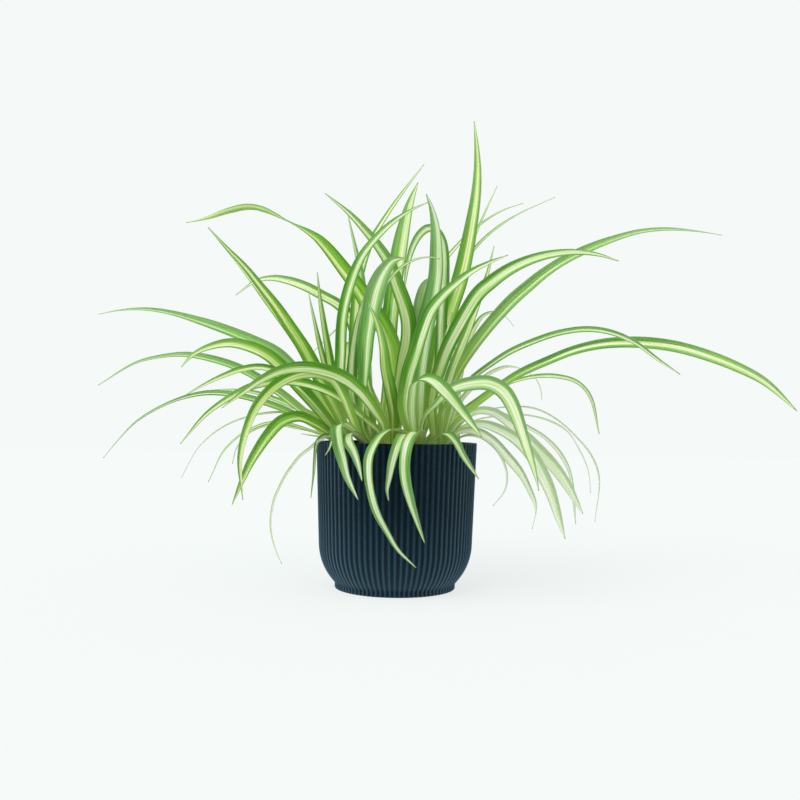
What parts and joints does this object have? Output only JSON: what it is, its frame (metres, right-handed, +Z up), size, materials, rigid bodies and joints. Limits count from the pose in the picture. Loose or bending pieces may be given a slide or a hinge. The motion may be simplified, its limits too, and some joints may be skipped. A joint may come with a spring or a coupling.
{
  "type": "potted spider plant",
  "caption": "Spider plant with long arching cream-striped leaves, growing as a clump of rosettes in a round, finely ribbed dark pot filled with soil.",
  "frame": {"origin": "middle of the flat underside of the pot's foot", "axes": "+Z up along the pot's axis; -Y towards the viewer of the picture; +X along the plant's widest spread, to the viewer's right"},
  "size_m": [0.7158, 0.4535, 0.4898],
  "materials": {
    "pot": "matte",
    "soil": "matte",
    "leaf": "satin"
  },
  "bodies": {
    "root": {"pot": "pot", "potting_soil": "soil", "crown_centre": "leaf", "crown_front_left": "leaf", "crown_front_right": "leaf", "crown_left": "leaf", "crown_right": "leaf", "crown_back_left": "leaf", "crown_back_right": "leaf"}
  },
  "joints": []
}
